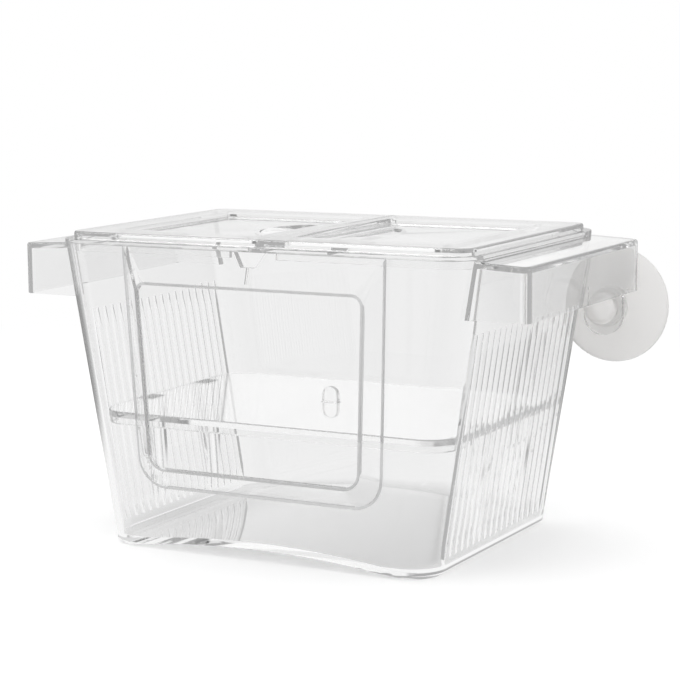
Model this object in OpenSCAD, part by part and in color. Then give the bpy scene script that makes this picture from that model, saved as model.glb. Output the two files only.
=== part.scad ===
// Fish breeding box: a clear tapered tank with slotted sides and two hollow ears,
// a two-part lift-off lid, a lift-out shelf and a suction cup behind the right ear.
// X runs to the right, Y to the back and Z up; the origin is the middle of the bottom.

/* [Tank] */
// Width of the base, outside
base_w = 121; // [110:0.5:128]
// Depth of the base, outside
base_d = 100; // [95:0.5:105]
// Width of the rim, outside
rim_w = 152.8; // [146:0.1:158]
// Depth of the rim, outside
rim_d = 107.1; // [104:0.1:112]
// Height of the rim above the base
rim_z = 101.3; // [98:0.1:106]
// Thickness of the walls
wall = 2.2; // [1.6:0.1:2.6]
// Thickness of the floor
floor_t = 2; // [1.6:0.1:3]
// Radius of the upright corners, outside
corner_r = 12; // [10:0.5:14]
// Bevel between the walls and the floor
foot_bevel = 1.5; // [0.8:0.1:2]
// Height of the arch under the floor
arch_rise = 4.2; // [2:0.1:5]
// Width of the arch under the floor
arch_w = 108; // [80:1:110]

/* [Window] */
// How far the window stands out from the front wall
window_proud = 3.7; // [2:0.1:5]
// Width of the window's border at its foot
window_foot_w = 90; // [84:0.5:94]
// Width of the window's border at the rim
window_rim_w = 95.9; // [92:0.1:100]
// Height of the border's foot
window_foot_z = 21.7; // [16:0.1:24]
// Corner radius of the border's foot
window_r = 10; // [7:0.5:12]
// Width of the flat pane at its foot
pane_foot_w = 78; // [72:0.5:80]
// Width of the flat pane at its top
pane_top_w = 83; // [78:0.5:86]
// Height of the pane's foot
pane_foot_z = 28.3; // [26:0.1:34]
// Height of the pane's top
pane_top_z = 90; // [84:0.5:92]
// Corner radius at the pane's foot
pane_foot_r = 6; // [3:0.5:8]
// Corner radius at the pane's top
pane_top_r = 3.5; // [2:0.5:6]
// Width of the notch at the rim
notch_w = 11.4; // [9:0.2:14]
// Width of the notch at its foot
notch_foot_w = 5.2; // [3:0.2:7]
// Depth of the notch in the rim
notch_depth = 4.9; // [4:0.1:5]
// Height of the fine groove below the notch
groove_h = 4.8; // [3:0.1:5.5]
// Width of the groove
groove_w = 0.8; // [0.5:0.1:1.2]
// Depth of the groove
groove_depth = 0.5; // [0.3:0.1:0.8]

/* [Side slots] */
// Number of slots in each side wall
slot_count = 19; // [9:2:19]
// Distance from slot to slot
slot_pitch = 4.4; // [3.6:0.1:4.4]
// Width of a slot
slot_w = 1.4; // [1:0.1:2]
// Height of the slots' lower tips
slot_foot_z = 5.5; // [5:0.1:12]
// Height of the slots' upper tips
slot_top_z = 77.5; // [60:0.5:78]
// Length over which a slot narrows to its lower tip
slot_foot_taper = 4; // [1:0.5:8]
// Length over which a slot narrows to its upper tip
slot_top_taper = 7.5; // [1:0.5:10]

/* [Ears] */
// How far an ear stands out from the rim
ear_reach = 16.3; // [15:0.1:18]
// How far an ear's front and back stand in from the rim's
ear_inset = 6.35; // [5:0.05:8]
// Height of an ear's skirt
ear_h = 17.1; // [15:0.1:19]
// Step from the rim down to an ear's outer edge
ear_drop = 1.3; // [0.9:0.1:3]
// Rise of an ear's top towards the tank
ear_rise = 0.8; // [0:0.1:0.8]
// Thickness of an ear's skirt and top
ear_wall = 2; // [1.6:0.1:2.4]
// Radius of an ear's upright corners, outside
ear_corner_r = 3; // [2.5:0.5:5]
// Width of the lug that holds the suction cup
lug_w = 13.8; // [12:0.1:15]
// Thickness of the lug
lug_t = 2; // [1.6:0.1:2.4]
// Height of the lug's lower end
lug_foot_z = 66.9; // [64:0.1:69]

/* [Shelf] */
// Height of the shelf's top face
shelf_z = 45; // [36:0.5:56]
// Thickness of the shelf
shelf_t = 2.3; // [1.6:0.1:3]
// Gap between the shelf and the front wall
shelf_front_gap = 2.3; // [1:0.1:3]
// Gap between the shelf and the back wall
shelf_back_gap = 6.3; // [1:0.1:8]
// Height of the shelf's down-turned front lip, with the plate
shelf_lip_h = 4.4; // [3.4:0.1:6]
// Thickness of the front lip
shelf_lip_t = 1.8; // [1.2:0.1:2.4]
// How far the front lip runs back along the sides
shelf_lip_run = 12.5; // [11:0.5:16]
// Width of the finger tab on the shelf
tab_w = 6; // [5:0.5:12]
// Height of the finger tab above the shelf
tab_h = 5.5; // [4:0.5:12]
// Thickness of the finger tab
tab_t = 2; // [1.4:0.1:3]
// Width of the ribs that carry the shelf, in slot pitches
rib_pitches = 2; // [2:1:3]
// Distance of the front ribs from the middle, in slot pitches
front_rib_pitches = 3.5; // [2.5:1:4.5]
// Distance of the back ribs from the middle, in slot pitches
back_rib_pitches = 4.5; // [3.5:1:5.5]
// How far the shelf laps over the ribs
rib_seat = 5; // [3:0.5:6]

/* [Lid] */
// How far the lid's raised field stands in from the rim, left and right
field_side_inset = 3; // [2.8:0.1:6]
// How far the lid's raised field stands in from the rim, front and back
field_inset = 5.35; // [5:0.05:8]
// Height of the raised field above the rim
lid_h = 3.5; // [3:0.1:5]
// Corner radius of the raised field
lid_corner_r = 5; // [3:0.5:8]
// How far the lid's flange stands in from the rim, left and right
flange_side_inset = 0.2; // [0:0.1:1]
// How far the lid's flange laps over the rim, front and back
flange_lap = 0.65; // [0.05:0.05:1.5]
// Thickness of the flange
flange_t = 1.2; // [1:0.1:1.6]
// Thickness of the lid's walls
lid_wall = 1.5; // [1.2:0.1:1.6]
// Border around each sunk panel
panel_border = 12.5; // [9:0.5:16]
// Border between a sunk panel and the seam
seam_border = 4.5; // [3:0.5:6]
// Depth of the sunk panels
panel_depth = 1.4; // [0.8:0.1:1.5]
// Corner radius of the sunk panels
panel_r = 3; // [2:0.5:6]
// Thickness of the lip that hangs inside the rim
lip_t = 1.5; // [1.2:0.1:2]
// Depth of the lip below the rim
lip_depth = 2.6; // [2:0.2:6]
// Stretch without a lip at the seam
lip_break = 17; // [15:0.5:24]
// Diameter of the round outline of both finger scoops
scoop_d = 48; // [42:1:52]
// Distance of a scoop's steep wall from the seam
scoop_x = 14; // [12:0.5:16]
// Depth of a scoop below its panel
scoop_depth = 4; // [2:0.2:6]

/* [Suction cup] */
// Distance of the cup's axis inside the right ear's end
cup_inset = 12.5; // [11:0.1:14]
// Height of the cup's axis
cup_z = 76.4; // [75:0.1:77]
// Diameter of the cup
cup_d = 40; // [34:0.5:42]
// Distance of the cup's lip behind the lug
cup_reach = 8.4; // [8.4:0.05:12]
// Width of the cup's flat lip
cup_lip_w = 1.2; // [0.8:0.1:2]
// Thickness of the cup's edge
cup_edge_t = 0.8; // [0.5:0.1:1]
// Depth of the cup's hollow
cup_hollow = 3.3; // [2:0.1:3.8]
// Height of the cup's dome under its boss
cup_dome = 5.4; // [5:0.1:6.5]
// Diameter of the cup's boss
boss_d = 14; // [11:0.5:15]
// Diameter of the bore in the lug
lug_bore_d = 7; // [6:0.1:8]
// Diameter of the cup's head in front of the lug
head_d = 11.2; // [9.6:0.2:12]
// Length of the cup's head
head_l = 4.2; // [3:0.1:5]

/* [Fits] */
// Gap between the cup's neck and its bore, on the radius
neck_clear = 0.05; // [0.02:0.01:0.1]
// Play of the cup along its axis, on each side of the lug
neck_float = 0.15; // [0.1:0.05:0.3]
// Gap between the shelf and the side walls
shelf_clear = 0.5; // [0.3:0.1:1]
// Gap between the lid's lip and the walls
lip_clear = 0.4; // [0.3:0.1:0.8]
// Gap between the lid's halves
seam_gap = 0.3; // [0.2:0.1:0.6]

/* [Hidden] */

// Sides of a full circle: exact rounds, the arch, and rounds inside a hull
round_sides = 96;
arch_sides = 720;
hull_sides = 32;
// Steps around each of the tank's upright corners
corner_steps = 8;
// The angle of the cup's axis in its section
upright = 90;
// The overrun of cuts and joints
over = 1;
// How far the slots bite past the wall's inner face
slot_bite = 0.5;
// Width of a slot's tip as a share of its width
slot_tip_share = 0.2;
clear_plastic = [0.86, 0.92, 0.95, 0.35];
soft_plastic = [0.86, 0.84, 0.84, 0.8];

// Outer half width and half depth of the tank at a height
function half_w(z) = (base_w + (rim_w - base_w) * z / rim_z) / 2;
function half_d(z) = (base_d + (rim_d - base_d) * z / rim_z) / 2;

side_slope = atan((rim_w - base_w) / 2 / rim_z);
front_slope = atan((rim_d - base_d) / 2 / rim_z);
// The walls' thickness along X and along Y
wall_x = wall / cos(side_slope);
wall_y = wall / cos(front_slope);
arch_r = (arch_rise * arch_rise + arch_w * arch_w / 4) / (2 * arch_rise);
// The window's inner faces lie this much inside its outer lines
window_slope = atan(2 * window_proud / (window_foot_w - pane_foot_w));
window_inset = wall * tan(window_slope / 2);
// The window's slanted top, above the pane
brow_slope = atan(window_proud / (rim_z - pane_top_z));

ear_span = rim_w + 2 * ear_reach;
ear_d = rim_d - 2 * ear_inset;
ear_top_z = rim_z - ear_drop;
ear_foot_z = ear_top_z - ear_h;
lug_round = lug_w / 2;
cup_x = ear_span / 2 - cup_inset;

shelf_foot_z = shelf_z - shelf_t;
shelf_half_w = half_w(shelf_foot_z) - wall_x - shelf_clear;
shelf_front = half_d(shelf_foot_z) - wall_y - shelf_front_gap;
shelf_back = half_d(shelf_foot_z) - wall_y - shelf_back_gap;
shelf_d = shelf_front + shelf_back;
shelf_lip_z = shelf_z - shelf_lip_h;
shelf_lip_w = 2 * (half_w(shelf_lip_z) - wall_x - shelf_clear);
plate_r = corner_r - wall;

lid_w = rim_w - 2 * field_side_inset;
lid_d = rim_d - 2 * field_inset;
flange_w = rim_w - 2 * flange_side_inset;
flange_d = rim_d + 2 * flange_lap;
lid_top_z = rim_z + lid_h;
panel_z = lid_top_z - panel_depth;
panel_foot_z = panel_z - lid_wall;
lip_foot_z = rim_z - lip_depth;
lip_half_w = half_w(lip_foot_z) - wall_x - lip_clear;
lip_half_d = half_d(lip_foot_z) - wall_y - lip_clear;

ear_back = ear_d / 2;
lip_y = ear_back + cup_reach;
right_reach = cup_x + cup_d / 2;
front_reach = half_d(pane_top_z) + window_proud;
// Every piece is moved by this, so that the origin is the middle of the whole
middle = [(ear_span / 2 - right_reach) / 2, (front_reach - lip_y) / 2, 0];

// Points on an arc in a plane, for profiles
function arc(centre, r, from, to, steps) =
    [for (i = [0:steps]) let (a = from + (to - from) * i / steps) centre + r * [cos(a), sin(a)]];

module both_sides() {
    children();
    mirror([1, 0, 0]) children();
}

// A flat rectangle with round corners around the origin
module rounded(w, d, r) {
    square([w - 2 * r, d], center = true);
    square([w, d - 2 * r], center = true);
    for (x = [-1, 1], y = [-1, 1])
        translate([x * (w / 2 - r), y * (d / 2 - r)]) circle(r, $fn = round_sides);
}

// Points around a level, round-cornered slice of the tank
function tank_ring(z, inset_x, inset_y, r) =
    [for (q = [0:3], i = [0:corner_steps])
        let (a = 90 * (q + i / corner_steps), x = half_w(z) - inset_x - r, y = half_d(z) - inset_y - r)
            [(q == 0 || q == 3 ? x : -x) + r * cos(a), (q < 2 ? y : -y) + r * sin(a), z]];

// The tapered tank's shape: a bevelled foot and straight walls up to a top
module tank_form(foot_z, top_z, inset_x, inset_y, r) {
    bevelled = tank_ring(foot_z, inset_x + foot_bevel, inset_y + foot_bevel, r - foot_bevel);
    foot = tank_ring(foot_z + foot_bevel, inset_x, inset_y, r);
    top = tank_ring(top_z, inset_x, inset_y, r);
    n = len(foot);
    sides = [for (k = [0, n], i = [0:n - 1]) let (j = (i + 1) % n) [k + i, k + n + i, k + n + j, k + j]];
    floor_face = [for (i = [0:n - 1]) i];
    top_face = [for (i = [n - 1:-1:0]) 2 * n + i];
    polyhedron(concat(bevelled, foot, top), concat([floor_face], sides, [top_face]));
}

module arch(r) {
    translate([0, 0, arch_rise - arch_r]) rotate([90, 0, 0])
        cylinder(h = rim_d + 2 * over, r = r, center = true, $fn = arch_sides);
}

// The front wall's own frame: X across, Z up the wall, Y inwards from its face
module on_front_wall() {
    translate([0, -half_d(0), 0]) rotate([front_slope, 0, 0]) children();
}

module disc_pair(half, z, r, depth) {
    for (x = [-1, 1])
        translate([x * (half - r), 0, z]) rotate([-90, 0, 0])
            cylinder(h = depth, r = r, $fn = hull_sides);
}

// The raised window: a flat pane inside a slanted border that runs out at the rim.
// The border is carried on past the wall's face, so that it cuts it cleanly.
module window_form(inset, depth) {
    reach = (window_proud + over) / window_proud;
    foot_half = pane_foot_w / 2 + (window_foot_w - pane_foot_w) / 2 * reach - inset;
    top_half = pane_top_w / 2 + (window_rim_w - pane_top_w) / 2 * reach - inset;
    foot_z = pane_foot_z + (window_foot_z - pane_foot_z) * reach + inset;
    top_z = pane_top_z + (rim_z - pane_top_z) * reach;
    round_r = pane_foot_r + (window_r - pane_foot_r) * reach - inset;
    on_front_wall() hull() {
        translate([0, depth + over, 0]) {
            disc_pair(foot_half, foot_z + round_r, round_r, over);
            translate([-top_half, 0, top_z]) cube([2 * top_half, over, over]);
        }
        translate([0, depth - window_proud, 0]) {
            disc_pair(pane_foot_w / 2 - inset, pane_foot_z + pane_foot_r, pane_foot_r - inset, over);
            disc_pair(pane_top_w / 2 - inset, pane_top_z - pane_top_r, pane_top_r - inset, over);
        }
    }
}

// Two ribs on each side wall, which grow out of it towards the shelf
module shelf_ribs() {
    rib_w = rib_pitches * slot_pitch;
    both_sides()
        for (pitches = [-front_rib_pitches, back_rib_pitches])
            translate([shelf_half_w - rib_seat, pitches * slot_pitch - rib_w / 2, 0])
                cube([rim_w, rib_w, shelf_foot_z]);
}

// All of the room inside the tank, with the ribs left standing
module tank_room() {
    difference() {
        union() {
            tank_form(floor_t, rim_z + over, wall_x, wall_y, corner_r - wall);
            window_form(window_inset, wall);
        }
        arch(arch_r + floor_t);
        shelf_ribs();
    }
}

// A slot narrows to a blunt tip at each end
module slot_outline() {
    foot = slot_foot_z / cos(side_slope);
    top = slot_top_z / cos(side_slope);
    half = slot_w / 2;
    tip = half * slot_tip_share;
    right = [[tip, foot], [half, foot + slot_foot_taper], [half, top - slot_top_taper], [tip, top]];
    left = [for (i = [3:-1:0]) [-right[i].x, right[i].y]];
    polygon(concat(right, left));
}

// The slots of the right wall, cut square to the slanted wall
module wall_slots() {
    first = -(slot_count - 1) / 2;
    translate([half_w(0), 0, 0]) rotate([0, side_slope, 0])
        for (i = [0:slot_count - 1])
            translate([-wall - slot_bite, (first + i) * slot_pitch, 0]) rotate([90, 0, 90])
                linear_extrude(wall + slot_bite + over) slot_outline();
}

// The front outline of an ear, drawn in by a wall and run down past its foot
module ear_outline(inset, below) {
    inner = half_w(0);
    outer = ear_span / 2 - inset;
    top = ear_top_z - inset;
    rise = ear_rise * (outer - inner) / (ear_span / 2 - half_w(rim_z));
    polygon([[inner, ear_foot_z - below], [outer, ear_foot_z - below], [outer, top], [inner, top + rise]]);
}

module ear_form(inset, below) {
    intersection() {
        rotate([90, 0, 0]) linear_extrude(ear_d - 2 * inset, center = true) ear_outline(inset, below);
        linear_extrude(rim_z) rounded(ear_span - 2 * inset, ear_d - 2 * inset, ear_corner_r - inset);
    }
}

module lug() {
    round_z = lug_foot_z + lug_round;
    translate([cup_x, ear_back, 0]) rotate([90, 0, 0]) linear_extrude(lug_t) {
        translate([-lug_w / 2, round_z]) square([lug_w, ear_foot_z + over - round_z]);
        translate([0, round_z]) circle(lug_round, $fn = round_sides);
    }
}

module lug_bore() {
    translate([cup_x, ear_back, cup_z]) rotate([90, 0, 0])
        translate([0, 0, -over]) cylinder(h = lug_t + 2 * over, d = lug_bore_d, $fn = round_sides);
}

module rim_notch() {
    half = notch_w / 2;
    foot_half = notch_foot_w / 2;
    flare = (half - foot_half) / notch_depth * over;
    translate([0, -wall_y, rim_z]) rotate([90, 0, 0]) linear_extrude(rim_d)
        polygon([
            [-foot_half, -notch_depth], [foot_half, -notch_depth],
            [half + flare, over], [-half - flare, over],
        ]);
}

// A fine upright groove in the window's slanted top, from the notch down
module notch_groove() {
    length = groove_h / cos(brow_slope);
    foot = (rim_z - notch_depth - pane_top_z) / cos(brow_slope) - length;
    on_front_wall() translate([0, -window_proud, pane_top_z]) rotate([-brow_slope, 0, 0])
        translate([-groove_w / 2, -over, foot]) cube([groove_w, over + groove_depth, length + over]);
}

module box_body() {
    color(clear_plastic) translate(middle) difference() {
        union() {
            tank_form(0, rim_z + over, 0, 0, corner_r);
            window_form(0, 0);
            both_sides() difference() {
                ear_form(0, 0);
                ear_form(ear_wall, over);
            }
            lug();
        }
        tank_room();
        arch(arch_r);
        both_sides() wall_slots();
        lug_bore();
        rim_notch();
        notch_groove();
        translate([-ear_span / 2, -rim_d, rim_z]) cube([ear_span, 2 * rim_d, rim_z]);
    }
}

// The lip along the shelf's front edge, carried a little way round its corners
module shelf_lip() {
    intersection() {
        difference() {
            rounded(shelf_lip_w, shelf_d, plate_r);
            rounded(shelf_lip_w - 2 * shelf_lip_t, shelf_d - 2 * shelf_lip_t, plate_r - shelf_lip_t);
        }
        translate([0, -shelf_d / 2]) square([rim_w, 2 * shelf_lip_run], center = true);
    }
}

module shelf() {
    color(clear_plastic) translate(middle) {
        translate([0, (shelf_back - shelf_front) / 2, shelf_foot_z]) linear_extrude(shelf_t)
            rounded(2 * shelf_half_w, shelf_d, plate_r);
        translate([0, (shelf_back - shelf_front) / 2, shelf_lip_z]) linear_extrude(shelf_lip_h - shelf_t / 2)
            shelf_lip();
        translate([0, tab_t / 2, shelf_z]) rotate([90, 0, 0]) linear_extrude(tab_t) {
            translate([-tab_w / 2, -shelf_t / 2]) square([tab_w, shelf_t / 2 + tab_h - tab_w / 2]);
            translate([0, tab_h - tab_w / 2]) circle(tab_w / 2, $fn = round_sides);
        }
    }
}

// The sunk panel of the right half, grown or drawn in by an edge
module panel_outline(edge) {
    left = seam_border + seam_gap / 2;
    right = lid_w / 2 - panel_border;
    translate([(left + right) / 2, 0])
        rounded(right - left + 2 * edge, lid_d - 2 * panel_border + 2 * edge, panel_r + edge);
}

// A finger scoop: steep on the seam's side, rising to the panel on the other
module scoop_form(edge, cap) {
    outer = scoop_d / 2;
    top = panel_z + cap;
    foot = panel_z - scoop_depth - edge;
    intersection() {
        translate([0, 0, foot - over]) cylinder(h = top - foot + over, r = outer + edge, $fn = round_sides);
        rotate([90, 0, 0]) linear_extrude(scoop_d + 2 * edge, center = true)
            polygon([
                [scoop_x - edge, top], [scoop_x - edge, foot],
                [outer + edge, panel_z - edge], [outer + edge, top],
            ]);
    }
}

module lid_lip() {
    translate([0, 0, lip_foot_z]) linear_extrude(rim_z - lip_foot_z + flange_t / 2) difference() {
        rounded(2 * lip_half_w, 2 * lip_half_d, corner_r - wall - lip_clear);
        rounded(2 * (lip_half_w - lip_t), 2 * (lip_half_d - lip_t), corner_r - wall - lip_clear - lip_t);
        square([lip_break, rim_d], center = true);
    }
}

// The right half of the lid; the left one is its mirror image
module lid_half() {
    intersection() {
        difference() {
            union() {
                translate([0, 0, rim_z]) linear_extrude(flange_t) rounded(flange_w, flange_d, corner_r);
                translate([0, 0, rim_z]) linear_extrude(lid_h) rounded(lid_w, lid_d, lid_corner_r);
                lid_lip();
                scoop_form(lid_wall, 0);
            }
            translate([0, 0, panel_z]) linear_extrude(lid_h) panel_outline(0);
            scoop_form(0, lid_h);
            lid_hollow();
        }
        translate([seam_gap / 2, -flange_d / 2, 0]) cube([flange_w / 2, flange_d, lid_top_z + over]);
    }
}

// The room under the raised field: shallow below the panel, deeper below its border
module lid_hollow() {
    inner_w = lid_w - 2 * lid_wall;
    inner_d = lid_d - 2 * lid_wall;
    inner_r = lid_corner_r - lid_wall;
    difference() {
        translate([0, 0, rim_z - over]) linear_extrude(lid_top_z - lid_wall - rim_z + over)
            rounded(inner_w, inner_d, inner_r);
        translate([0, 0, panel_foot_z]) linear_extrude(lid_h) panel_outline(lid_wall);
        translate([-lid_w / 2, -lid_d / 2, rim_z - lid_h])
            cube([lid_w / 2 + seam_gap / 2 + lid_wall, lid_d, 3 * lid_h]);
        scoop_form(lid_wall, 0);
        lid_lip();
    }
}

module lid_right() {
    color(clear_plastic) translate(middle) lid_half();
}

module lid_left() {
    color(clear_plastic) translate(middle) mirror([1, 0, 0]) lid_half();
}

// Half of the cup's section: radius across, distance in front of the lip up
module cup_section() {
    r = cup_d / 2;
    hollow_r = r - cup_lip_w;
    hollow_arc_r = (hollow_r * hollow_r + cup_hollow * cup_hollow) / (2 * cup_hollow);
    hollow_angle = asin(hollow_r / hollow_arc_r);
    dome_rise = cup_dome - cup_edge_t;
    dome_arc_r = (r * r + dome_rise * dome_rise) / (2 * dome_rise);
    dome_end = asin(r / dome_arc_r);
    dome_start = asin(boss_d / 2 / dome_arc_r);
    neck_r = lug_bore_d / 2 - neck_clear;
    boss_end = cup_reach - neck_float;
    head_start = cup_reach + lug_t + neck_float;
    head_round = head_l / 2;
    steps = 8;
    hollow_arc = arc([0, cup_hollow - hollow_arc_r], hollow_arc_r, upright, upright - hollow_angle, steps);
    dome_arc = arc([0, cup_dome - dome_arc_r], dome_arc_r, upright - dome_end, upright - dome_start, steps);
    neck = [[boss_d / 2, boss_end], [neck_r, boss_end], [neck_r, head_start], [head_d / 2, head_start]];
    head = arc([head_d / 2 - head_round, head_start + head_l - head_round], head_round, 0, upright, steps);
    polygon(concat(hollow_arc, [[r, 0]], dome_arc, neck, head, [[0, head_start + head_l]]));
}

module suction_cup() {
    color(soft_plastic) translate(middle) translate([cup_x, lip_y, cup_z]) rotate([90, 0, 0])
        rotate_extrude($fn = round_sides) cup_section();
}

box_body();
shelf();
lid_left();
lid_right();
suction_cup();
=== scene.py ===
import math

import bmesh
import bpy
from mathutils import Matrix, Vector


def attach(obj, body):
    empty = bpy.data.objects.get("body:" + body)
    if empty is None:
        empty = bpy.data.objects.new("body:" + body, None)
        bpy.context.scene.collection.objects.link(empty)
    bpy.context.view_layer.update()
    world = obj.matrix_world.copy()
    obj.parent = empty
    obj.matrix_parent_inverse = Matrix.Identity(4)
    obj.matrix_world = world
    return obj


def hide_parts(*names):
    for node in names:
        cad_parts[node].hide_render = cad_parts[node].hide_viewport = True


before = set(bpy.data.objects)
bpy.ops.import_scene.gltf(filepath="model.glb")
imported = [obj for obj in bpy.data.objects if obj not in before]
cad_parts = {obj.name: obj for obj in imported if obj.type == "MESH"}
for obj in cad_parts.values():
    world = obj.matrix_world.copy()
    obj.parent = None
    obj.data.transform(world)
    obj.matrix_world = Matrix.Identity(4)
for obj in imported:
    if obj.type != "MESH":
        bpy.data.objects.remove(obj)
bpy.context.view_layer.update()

MM = 0.001
# The solids are moved by this, so that the origin is the middle of the whole
MIDDLE = Vector((-3.75, 0.627, 0.0))
# The front wall leans outwards by 3.55 mm over its height of 101.3 mm
FRONT_NORMAL = Vector((0, -101.3, -3.55)).normalized()
# The cosine of 1.8 degrees: a face nearer than that to the front wall's slope is part of it
IN_FRONT_WALL = 0.9995

# Edges from this angle on, in degrees, are creases
CREASE = 14
# The facets of a rounding meet at less than this angle, and its ends at more
ROUNDING = 50
# A face this many times wider than the next is a flat wall
MUCH_WIDER = 4
# Points closer than MERGE are one, slivers thinner than SLIVER go, and faces within FLAT degrees join up
MERGE = 0.05 * MM
SLIVER = 0.04 * MM
FLAT = 0.2

# The photograph's view, measured from the tank's rim, foot and ears
AZIMUTH = 28.43
ELEVATION = 8.40
ROLL = -0.48
DISTANCE = 718.61
LENS = 112.28
SENSOR = 36.0
TARGET = Vector((3.18, 0.0, 66.37)) + MIDDLE

# How strongly crystal polystyrene bends light
POLYSTYRENE_IOR = 1.59

# The studio's brightness against the degrees turned away from the backdrop
ROUND_ROOM = (
    (0, 1.0), (9, 0.95), (14, 0.22), (34, 0.25), (52, 0.42), (60, 0.55), (70, 1.05), (110, 1.0), (180, 0.7))
CEILING = 0.97
# The backdrop as the plastic lets it through, and the floor in the plastic's own mirror image
VEILED_BACKDROP = 0.96
MIRRORED_FLOOR = 0.95
# In metres
FLOOR_RADIUS = 1.2

scene = bpy.context.scene


def linear(hex_colour):
    """An sRGB hex colour as the linear RGBA that Blender's sockets take."""
    channels = [int(hex_colour[i:i + 2], 16) / 255 for i in (1, 3, 5)]
    return tuple(c / 12.92 if c <= 0.04045 else ((c + 0.055) / 1.055) ** 2.4 for c in channels) + (1.0,)


def grey(level):
    """A plain grey of a given strength."""
    return (level, level, level, 1)


def add(tree, kind, links=(), **settings):
    """Adds a node. Keys that start with in_ set the input of that name or number, and others set a
    property. links are pairs of an input and the socket that feeds it."""
    node = tree.nodes.new(kind)
    for key, value in settings.items():
        if key.startswith("in_"):
            name = key[3:]
            socket = node.inputs[int(name)] if name.isdigit() else node.inputs[name.replace("_", " ")]
            socket.default_value = value
        else:
            setattr(node, key, value)
    for name, source in links:
        tree.links.new(source, node.inputs[name])
    return node


def material(name):
    """An empty node material and its tree."""
    made = bpy.data.materials.new(name)
    made.use_nodes = True
    made.node_tree.nodes.clear()
    return made, made.node_tree


def object_place(tree):
    return add(tree, "ShaderNodeTexCoord").outputs["Object"]


def turned_more(tree, path, kind, count):
    """1 for light that has been mirrored (Glossy) or let through (Transmission) more than count times."""
    return add(tree, "ShaderNodeMath", [(0, path.outputs[f"{kind} Depth"])],
               operation="GREATER_THAN", in_1=count + 0.5).outputs["Value"]


def mix_shaders(tree, share, first, second):
    return add(tree, "ShaderNodeMixShader", [(0, share), (1, first), (2, second)]).outputs["Shader"]


def ease(tree, value, start, end):
    """A soft rise from 0 to 1."""
    return add(tree, "ShaderNodeMapRange", [("Value", value)],
               interpolation_type="SMOOTHSTEP", in_1=start, in_2=end).outputs["Result"]


def moulded_clear_polystyrene():
    """Clear crystal polystyrene, injection moulded: glassy, a little grey where light runs far along a wall,
    with slow flow waves and a fine bloom of handling. Where light has been mirrored ten times or more,
    the plastic gives off a flat grey glow: painted light, not a lamp, standing in for the light of those paths."""
    made, tree = material("moulded_clear_polystyrene")
    place = object_place(tree)
    waves = add(tree, "ShaderNodeTexNoise", [("Vector", place)], in_Scale=55.0, in_Detail=1.0, in_Roughness=0.4)
    bump = add(tree, "ShaderNodeBump", [("Height", waves.outputs["Fac"])], in_Strength=0.02, in_Distance=0.0006)
    bloom = add(tree, "ShaderNodeTexNoise", [("Vector", place)], in_Scale=180.0, in_Detail=3.0)
    rough = add(tree, "ShaderNodeMapRange", [("Value", bloom.outputs["Fac"])], in_3=0.0, in_4=0.015)
    plastic = add(
        tree, "ShaderNodeBsdfPrincipled",
        [("Roughness", rough.outputs["Result"]), ("Normal", bump.outputs["Normal"])],
        in_Base_Color=linear("#FCFCFC"), in_IOR=POLYSTYRENE_IOR, in_Transmission_Weight=1.0,
    )
    through = add(tree, "ShaderNodeBsdfTransparent", in_Color=linear("#F2F2F2"))
    path = add(tree, "ShaderNodeLightPath")
    mix = mix_shaders(tree, path.outputs["Is Shadow Ray"], plastic.outputs["BSDF"], through.outputs["BSDF"])
    # Painted glow: a flat grey emission for paths mirrored ten times or more, not light that the plastic gives.
    painted_glow = add(tree, "ShaderNodeEmission", in_Color=linear("#B0B0B0"), in_Strength=1.0)
    soft = mix_shaders(tree, turned_more(tree, path, "Glossy", 9), mix, painted_glow.outputs["Emission"])
    depth = add(tree, "ShaderNodeVolumeAbsorption", in_Color=linear("#DDDDDD"), in_Density=3.0)
    add(tree, "ShaderNodeOutputMaterial", [("Surface", soft), ("Volume", depth.outputs["Volume"])])
    return made


def matt_crease_painted_shade():
    """The window's creases, where the mould isn't polished: fine lines that scatter, with a grey tint that is
    painted shade and makes them look grey.
    """
    made, tree = material("matt_crease_painted_shade")
    grain = add(tree, "ShaderNodeTexNoise", [("Vector", object_place(tree))], in_Scale=900.0, in_Detail=2.0)
    bump = add(tree, "ShaderNodeBump", [("Height", grain.outputs["Fac"])], in_Strength=0.3, in_Distance=0.0002)
    # The grey base colour is painted shade on the crease lines; the roughness and grain are the matt finish.
    frosted = add(
        tree, "ShaderNodeBsdfPrincipled", [("Normal", bump.outputs["Normal"])],
        in_Base_Color=linear("#D0D0D0"), in_IOR=POLYSTYRENE_IOR, in_Transmission_Weight=1.0,
        in_Roughness=0.45,
    )
    add(tree, "ShaderNodeOutputMaterial", [("Surface", frosted.outputs["BSDF"])])
    return made


def soft_milky_vinyl():
    """Soft PVC, moulded: milky and cloudy, with a satin skin."""
    made, tree = material("soft_milky_vinyl")
    cloud = add(tree, "ShaderNodeTexNoise", [("Vector", object_place(tree))], in_Scale=120.0, in_Detail=3.0)
    rough = add(tree, "ShaderNodeMapRange", [("Value", cloud.outputs["Fac"])], in_3=0.28, in_4=0.42)
    skin = add(tree, "ShaderNodeBump", [("Height", cloud.outputs["Fac"])], in_Strength=0.1, in_Distance=0.0002)
    vinyl = add(
        tree, "ShaderNodeBsdfPrincipled",
        [("Roughness", rough.outputs["Result"]), ("Normal", skin.outputs["Normal"])],
        in_Base_Color=linear("#F3F2F1"), in_IOR=1.53, in_Transmission_Weight=0.6,
    )
    through = add(tree, "ShaderNodeBsdfTransparent", in_Color=linear("#DCDCDA"))
    path = add(tree, "ShaderNodeLightPath")
    mix = mix_shaders(tree, path.outputs["Is Shadow Ray"], vinyl.outputs["BSDF"], through.outputs["BSDF"])
    add(tree, "ShaderNodeOutputMaterial", [("Surface", mix)])
    return made


def local(point):
    """A point in millimetres, measured from the middle of the tank's base."""
    return point / MM - MIDDLE


def face_angle(edge):
    return math.degrees(edge.calc_face_angle())


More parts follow.
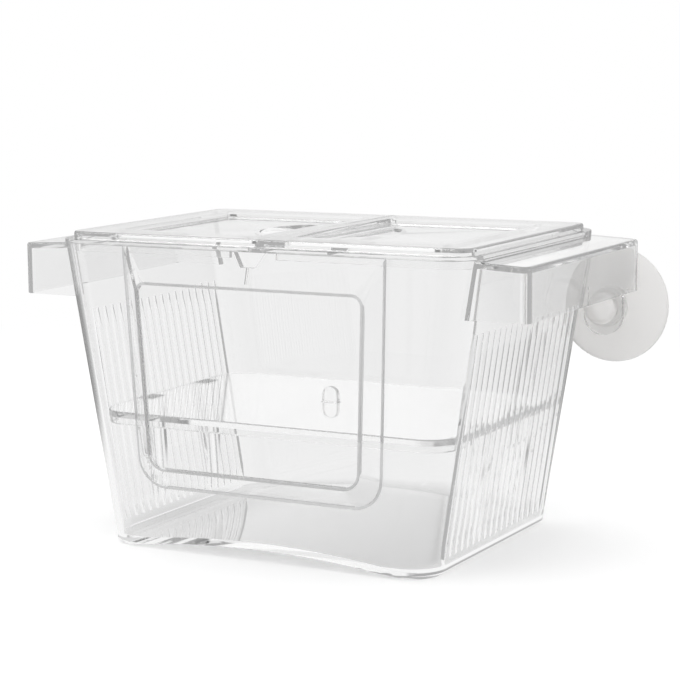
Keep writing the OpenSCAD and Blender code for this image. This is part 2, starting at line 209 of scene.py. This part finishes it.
def round_edges(bm, radius, segments, chosen, slot=-1):
    """Rounds the creases whose middle and face angle chosen() accepts. One segment makes a flat bevel.
    slot is the place of the rounding's own finish among the piece's finishes."""
    edges = []
    for edge in bm.edges:
        if len(edge.link_faces) != 2:
            continue
        middle = local((edge.verts[0].co + edge.verts[1].co) / 2)
        if face_angle(edge) > CREASE and chosen(middle, face_angle(edge), edge):
            edges.append(edge)
    made = bmesh.ops.bevel(
        bm, geom=edges, offset=radius * MM, offset_type="OFFSET", segments=segments, profile=0.5,
        affect="EDGES", clamp_overlap=False, material=slot)
    bm.normal_update()
    for edge in made["edges"]:
        edge.smooth = segments > 1 and len(edge.link_faces) == 2 and face_angle(edge) < ROUNDING


def smooth_fan(face, corner):
    """The faces round a corner that run smoothly into a face."""
    fan = [face]
    for other in fan:
        for edge in other.edges:
            if corner in edge.verts and edge.smooth:
                fan += [near for near in edge.link_faces if near not in fan]
    return fan


def even_normals(bm):
    """A normal for every corner of every face. A face much wider than those it runs into stays flat,
    and they curve into it."""
    bm.normal_update()
    area = {face: face.calc_area() for face in bm.faces}
    normals = []
    for face in bm.faces:
        for corner in face.verts:
            fan = sorted(smooth_fan(face, corner), key=area.get, reverse=True)
            if len(fan) == 1 or area[fan[0]] > MUCH_WIDER * area[fan[1]]:
                normals.append(fan[0].normal.copy())
            else:
                normals.append(sum((near.normal * area[near] for near in fan), Vector()).normalized())
    return normals


def softened_copy(node, body, finishes, roundings):
    """A copy of a CAD node with its moulded edges rounded, on the same body. Each of the roundings is a
    radius in millimetres, a number of facets, a rule that picks the edges and, where it has a finish of
    its own, the finish's place."""
    bm = bmesh.new()
    bm.from_mesh(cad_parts[node].data)
    bmesh.ops.remove_doubles(bm, verts=bm.verts[:], dist=MERGE)
    bmesh.ops.dissolve_degenerate(bm, dist=SLIVER, edges=bm.edges[:])
    bmesh.ops.dissolve_limit(bm, angle_limit=math.radians(FLAT), verts=bm.verts[:], edges=bm.edges[:])
    for edge in bm.edges:
        edge.smooth = len(edge.link_faces) == 2 and face_angle(edge) < CREASE
    for rounding in roundings:
        round_edges(bm, *rounding)
    for face in bm.faces:
        face.smooth = True
    normals = even_normals(bm)
    mesh = bpy.data.meshes.new(node + "_look")
    bm.to_mesh(mesh)
    bm.free()
    mesh.normals_split_custom_set(normals)
    piece = bpy.data.objects.new(node + "_moulded", mesh)
    scene.collection.objects.link(piece)
    for finish in finishes:
        mesh.materials.append(finish)
    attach(piece, body)
    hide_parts(node)


# The rules that pick edges, by the place of an edge's middle in millimetres and its angle in degrees


def window_crease(middle, angle, edge):
    """The lines where the window's slanted border meets the pane and the front wall, and their
    straight stretches on the inside."""
    level = any(abs(face.normal.dot(FRONT_NORMAL)) > IN_FRONT_WALL for face in edge.link_faces)
    in_window = abs(middle.x) < 49 and 20 < middle.z < 101 and middle.y < -46
    outside = edge.link_faces[0].normal.y < 0
    shortest = 0.2 if outside else 15
    return level and in_window and edge.calc_length() > shortest * MM


def ear_brow(middle, angle, edge):
    """The ears' outer top edges."""
    return abs(middle.x) > 77 and middle.z > 99.2 and 70 < angle < 110


def lid_brow(middle, angle, edge):
    """The outer top edge of the lid's raised field."""
    return middle.z > 104.6 and (abs(middle.x) > 72 or abs(middle.y) > 46.5) and 80 < angle < 100


def any_edge(middle, angle, edge):
    """Every clear edge but the shortest."""
    return angle > 40 and edge.calc_length() > 0.25 * MM


def shelf_edge(middle, angle, edge):
    """The shelf's edges, without those where its front lip grows out of the plate."""
    return any_edge(middle, angle, edge) and (middle.z > 44 or middle.z < 41)


clear = moulded_clear_polystyrene()
crease = matt_crease_painted_shade()
vinyl = soft_milky_vinyl()

softened_copy("box_body", "tank", [clear, crease],
              [(0.5, 1, window_crease, 1), (0.8, 3, ear_brow)])
softened_copy("shelf", "shelf_plate", [clear], [(0.4, 2, shelf_edge)])
for side in ("left", "right"):
    softened_copy(f"lid_{side}", f"{side}_lid", [clear], [(0.8, 3, lid_brow)])
softened_copy("suction_cup", "cup", [vinyl], [(0.3, 2, any_edge)])


def studio_room(tree, direction, height):
    """The studio's strength in a direction: a narrow white backdrop, a low dark flag on each side of it
    that draws the upright edges, and soft boxes round the rest and overhead. height is the direction's
    rise or fall. Returns the room as reflections see it, and the plain round of it at eye level."""
    az = math.radians(AZIMUTH)
    level = add(tree, "ShaderNodeVectorMath", [(0, direction)], operation="MULTIPLY", in_1=(1, 1, 0))
    flat = add(tree, "ShaderNodeVectorMath", [(0, level.outputs["Vector"])], operation="NORMALIZE")
    towards = add(tree, "ShaderNodeVectorMath", [(0, flat.outputs["Vector"])], operation="DOT_PRODUCT",
                  in_1=(-math.sin(az), math.cos(az), 0))
    turn = add(tree, "ShaderNodeMath", [(0, towards.outputs["Value"])], operation="ARCCOSINE")
    share = add(tree, "ShaderNodeMath", [(0, turn.outputs["Value"])], operation="DIVIDE", in_1=math.pi)
    round_room = add(tree, "ShaderNodeValToRGB", [("Fac", share.outputs["Value"])])
    stops = round_room.color_ramp.elements
    for stop, (degrees, strength) in ((stops[0], ROUND_ROOM[0]), (stops[1], ROUND_ROOM[-1])):
        stop.position = degrees / 180
        stop.color = grey(strength)
    for degrees, strength in ROUND_ROOM[1:-1]:
        stops.new(degrees / 180).color = grey(strength)
    ahead = add(tree, "ShaderNodeMapRange", [("Value", share.outputs["Value"])], in_1=12 / 180, in_2=7 / 180)
    lift = add(tree, "ShaderNodeMapRange", [("Value", height)], in_1=0.09, in_2=0.17, in_3=0.86, in_4=1.12)
    backdrop = add(tree, "ShaderNodeMixRGB", [
        (0, ahead.outputs["Result"]), (1, round_room.outputs["Color"]), (2, lift.outputs["Result"])])
    steep = ease(tree, height, 0.24, 0.42)
    room = add(tree, "ShaderNodeMixRGB", [(0, steep), (1, backdrop.outputs["Color"])], in_2=grey(CEILING))
    return room.outputs["Color"], round_room.outputs["Color"]


def studio_floor():
    """A round white sweep that keeps the object's shadow and runs out into the white of the backdrop. Through
    the plastic it shows a painted shadow: an emitted grey, darkest under the box, for the shade its own base
    and walls cast under it. Distances are in metres."""
    bm = bmesh.new()
    bmesh.ops.create_circle(bm, cap_ends=True, segments=96, radius=FLOOR_RADIUS)
    mesh = bpy.data.meshes.new("floor")
    bm.to_mesh(mesh)
    bm.free()
    floor = bpy.data.objects.new("floor", mesh)
    scene.collection.objects.link(floor)
    made, tree = material("white_sweep")
    place = object_place(tree)
    radius = add(tree, "ShaderNodeVectorMath", [(0, place)], operation="LENGTH").outputs["Value"]
    path = add(tree, "ShaderNodeLightPath")
    paper = add(tree, "ShaderNodeBsdfDiffuse", in_Color=linear("#FBFBFB"))
    white = add(tree, "ShaderNodeEmission", in_Strength=1.0)
    far = ease(tree, radius, 0.25, 0.55)
    open_view = mix_shaders(tree, far, paper.outputs["BSDF"], white.outputs["Emission"])
    # Painted shadow: seen through the plastic, the floor emits a grey that is darkest under the box, standing
    # in for its shade.
    painted_shadow_strength = add(tree, "ShaderNodeMapRange", [("Value", radius)], in_1=0.055, in_2=0.09, in_3=0.45, in_4=0.91)
    dimmed_through_plastic = add(tree, "ShaderNodeEmission", [("Strength", painted_shadow_strength.outputs["Result"])])
    seen = mix_shaders(tree, turned_more(tree, path, "Transmission", 0), open_view, dimmed_through_plastic.outputs["Emission"])
    ground = add(tree, "ShaderNodeValue").outputs["Value"]
    room, _ = studio_room(tree, place, ground)
    away = ease(tree, radius, 0.12, 0.28)
    tone = add(tree, "ShaderNodeMixRGB", [(0, away), (2, room)], in_1=grey(MIRRORED_FLOOR))
    studio = add(tree, "ShaderNodeEmission", [("Color", tone.outputs["Color"])])
    mix = mix_shaders(tree, turned_more(tree, path, "Glossy", 0), seen, studio.outputs["Emission"])
    add(tree, "ShaderNodeOutputMaterial", [("Surface", mix)])
    mesh.materials.append(made)


def studio_light():
    """A white backdrop for what is seen straight, the studio's round for what is seen through the plastic,
    and the whole studio for reflections."""
    world = bpy.data.worlds.new("studio")
    scene.world = world
    world.use_nodes = True
    tree = world.node_tree
    tree.nodes.clear()
    direction = add(tree, "ShaderNodeTexCoord").outputs["Generated"]
    path = add(tree, "ShaderNodeLightPath")
    parts = add(tree, "ShaderNodeSeparateXYZ", [(0, direction)])
    height = add(tree, "ShaderNodeMath", [(0, parts.outputs["Z"])], operation="ABSOLUTE").outputs["Value"]
    room, round_room = studio_room(tree, direction, height)
    dimmed_through_plastic = add(tree, "ShaderNodeMixRGB", [(1, round_room)], blend_type="MULTIPLY", in_0=1.0,
                 in_2=grey(VEILED_BACKDROP))
    straight = add(tree, "ShaderNodeMixRGB", [
        (0, turned_more(tree, path, "Transmission", 0)), (2, dimmed_through_plastic.outputs["Color"])], in_1=grey(1))
    mix = add(tree, "ShaderNodeMixRGB", [
        (0, turned_more(tree, path, "Glossy", 0)), (1, straight.outputs["Color"]), (2, room)])
    back = add(tree, "ShaderNodeBackground", [("Color", mix.outputs["Color"])], in_Strength=1.0)
    add(tree, "ShaderNodeOutputWorld", [("Surface", back.outputs["Background"])])


def soft_box(name, place, aim, side, power):
    """A square lamp with a diffuser."""
    light = bpy.data.lights.new(name, "AREA")
    light.shape = "RECTANGLE"
    light.size = side
    light.size_y = side
    light.energy = power
    lamp = bpy.data.objects.new(name, light)
    lamp.location = Vector(place)
    lamp.rotation_euler = (Vector(aim) - Vector(place)).to_track_quat("-Z", "Y").to_euler()
    scene.collection.objects.link(lamp)


def photo_camera():
    """The camera where the photographer's stood."""
    az, el, roll = (math.radians(a) for a in (AZIMUTH, ELEVATION, ROLL))
    away = Vector((math.sin(az) * math.cos(el), -math.cos(az) * math.cos(el), math.sin(el)))
    data = bpy.data.cameras.new("photo_camera")
    data.lens = LENS
    data.sensor_width = SENSOR
    data.clip_start = 0.01
    data.clip_end = 20.0
    camera = bpy.data.objects.new("photo_camera", data)
    camera.location = TARGET * MM + away * (DISTANCE * MM)
    turn = (-away).to_track_quat("-Z", "Y").to_matrix()
    right = turn.col[0] * math.cos(roll) + turn.col[1] * math.sin(roll)
    up = -turn.col[0] * math.sin(roll) + turn.col[1] * math.cos(roll)
    turn.col[0] = right
    turn.col[1] = up
    camera.rotation_euler = turn.to_euler()
    scene.collection.objects.link(camera)
    scene.camera = camera


studio_floor()
studio_light()
soft_box("key_soft_box", place=(-0.5, -0.5, 0.9), aim=(0, 0, 0.06), side=0.6, power=4.0)
photo_camera()

scene.view_settings.view_transform = "Standard"
# Light crosses many walls and runs far along them
scene.cycles.max_bounces = 32
scene.cycles.transmission_bounces = 32
scene.cycles.glossy_bounces = 12
scene.cycles.transparent_max_bounces = 24
